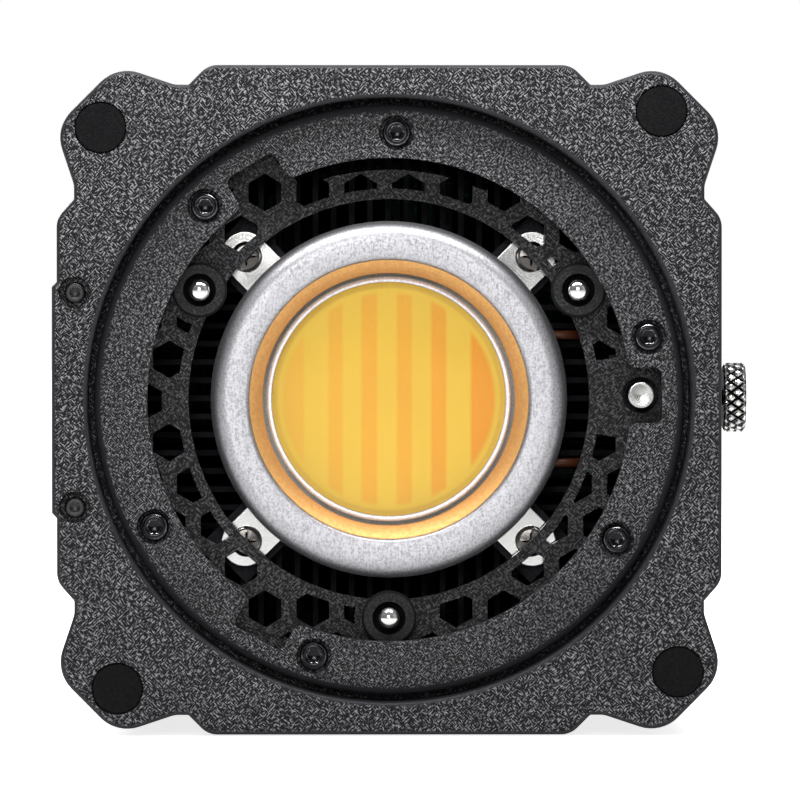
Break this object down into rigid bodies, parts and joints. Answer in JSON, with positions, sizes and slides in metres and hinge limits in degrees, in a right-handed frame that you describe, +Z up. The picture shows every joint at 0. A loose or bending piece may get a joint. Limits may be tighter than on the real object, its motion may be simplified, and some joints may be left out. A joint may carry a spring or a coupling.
{
  "type": "studio light head",
  "caption": "Compact square bi-colour COB studio light head with a three-slot bayonet accessory mount, honeycomb guard, spring lock and rear dials.",
  "frame": {"origin": "on the optical axis, at the centre of the accessory mount, in the plane of the front face", "axes": "-Y out of the front along the light beam, +X to the right seen from the front, +Z up"},
  "size_m": [0.0926, 0.1195, 0.0886],
  "materials": {
    "bezel": "moulded grain, matte",
    "shell": "fine moulded grain, matte",
    "ring": "textured black powder coat",
    "grille": "textured black powder coat",
    "rubber": "matte rubber",
    "dark_screw": "black oxide",
    "steel": "turned bright steel",
    "spring_steel": "drawn spring wire",
    "nickel": "bright nickel plate",
    "silver": "bead-blasted satin",
    "reflector": "polished, warm from the light below",
    "glass": "clear tempered",
    "phosphor": "yellow phosphor silicone with orange stripes",
    "dam": "white silicone",
    "ceramic": "white ceramic",
    "copper": "bare copper",
    "aluminium": "dark anodised fins",
    "spreader": "black anodised",
    "lead": "insulated orange wire",
    "fan": "satin black",
    "winding": "enamelled winding",
    "brass": "turned brass",
    "board": "solder-masked board",
    "component": "moulded component bodies",
    "display": "dark display",
    "window": "smoked clear window",
    "dial": "fluted matte",
    "button": "satin",
    "socket": "nickel over steel",
    "plate": "black anodised, bead-blasted"
  },
  "bodies": {
    "head": {"front_bezel": "bezel", "corner_plugs": "rubber", "bezel_screws": "dark_screw", "mount_ring": "ring", "mount_ring_screws": "dark_screw", "grille_plate": "grille", "plunger_bushes": "grille", "plunger_caps": "brass", "lock_spring": "spring_steel", "lock_guide": "spreader", "lock_guide_screws": "dark_screw", "lamp_ring": "silver", "reflector_cone": "reflector", "glass_ring": "nickel", "cob_glass": "glass", "cob_phosphor": "phosphor", "cob_dam": "dam", "cob_substrate": "ceramic", "cob_bracket": "nickel", "cob_bracket_screws": "nickel", "heat_spreader": "spreader", "heat_pipes": "copper", "heatsink": "aluminium", "led_leads": "lead", "fan_frame": "fan", "fan_bearing": "brass", "fan_stator": "winding", "board_standoffs": "brass", "board_screws": "dark_screw", "driver_board": "board", "driver_components": "component", "control_board": "board", "display_module": "display", "display_window": "window", "dial_encoders": "steel", "button_switches": "component", "dc_socket": "socket", "usb_socket": "socket", "side_mount_plate": "plate", "side_plate_screws": "dark_screw", "tripod_plate": "plate", "tripod_plate_screws": "dark_screw", "rear_cover": "bezel", "rear_cover_screws": "dark_screw", "upper_shell": "shell", "lower_shell": "shell", "plunger_spring_right": "spring_steel", "plunger_spring_left": "spring_steel", "plunger_spring_bottom": "spring_steel"},
    "lock_slider": {"lock_pin": "steel", "lock_carriage": "grille", "lock_knob": "steel"},
    "plunger_right": {"plunger_pin_right": "steel"},
    "plunger_left": {"plunger_pin_left": "steel"},
    "plunger_bottom": {"plunger_pin_bottom": "steel"},
    "fan_rotor": {"fan_rotor": "fan"},
    "brightness_dial": {"brightness_dial": "dial"},
    "colour_dial": {"colour_dial": "dial"},
    "power_button": {"power_button": "button"},
    "menu_button": {"menu_button": "button"}
  },
  "joints": [
    {"name": "lock_slide", "type": "slide", "parent": "head", "child": "lock_slider", "axis": [0, 1, 0], "range_m": [0, 0.004], "stiffness_N_per_m": 400, "springref_m": -0.002, "deforming": ["lock_spring"]},
    {"name": "fan_spin", "type": "hinge", "parent": "head", "child": "fan_rotor", "pos_m": [0, 0.073, 0], "axis": [0, 1, 0], "continuous": true},
    {"name": "brightness_turn", "type": "hinge", "parent": "head", "child": "brightness_dial", "pos_m": [0.02, 0.115, -0.012], "axis": [0, 1, 0], "continuous": true},
    {"name": "colour_turn", "type": "hinge", "parent": "head", "child": "colour_dial", "pos_m": [-0.02, 0.115, -0.012], "axis": [0, 1, 0], "continuous": true},
    {"name": "power_press", "type": "slide", "parent": "head", "child": "power_button", "axis": [0, -1, 0], "range_m": [0, 0.0006], "stiffness_N_per_m": 900, "springref_m": -0.0006},
    {"name": "menu_press", "type": "slide", "parent": "head", "child": "menu_button", "axis": [0, -1, 0], "range_m": [0, 0.0006], "stiffness_N_per_m": 900, "springref_m": -0.0006},
    {"name": "plunger_right_press", "type": "slide", "parent": "head", "child": "plunger_right", "axis": [0, 1, 0], "range_m": [0, 0.0015], "stiffness_N_per_m": 800, "springref_m": -0.001, "deforming": ["plunger_spring_right"]},
    {"name": "plunger_left_press", "type": "slide", "parent": "head", "child": "plunger_left", "axis": [0, 1, 0], "range_m": [0, 0.0015], "stiffness_N_per_m": 800, "springref_m": -0.001, "deforming": ["plunger_spring_left"]},
    {"name": "plunger_bottom_press", "type": "slide", "parent": "head", "child": "plunger_bottom", "axis": [0, 1, 0], "range_m": [0, 0.0015], "stiffness_N_per_m": 800, "springref_m": -0.001, "deforming": ["plunger_spring_bottom"]}
  ]
}
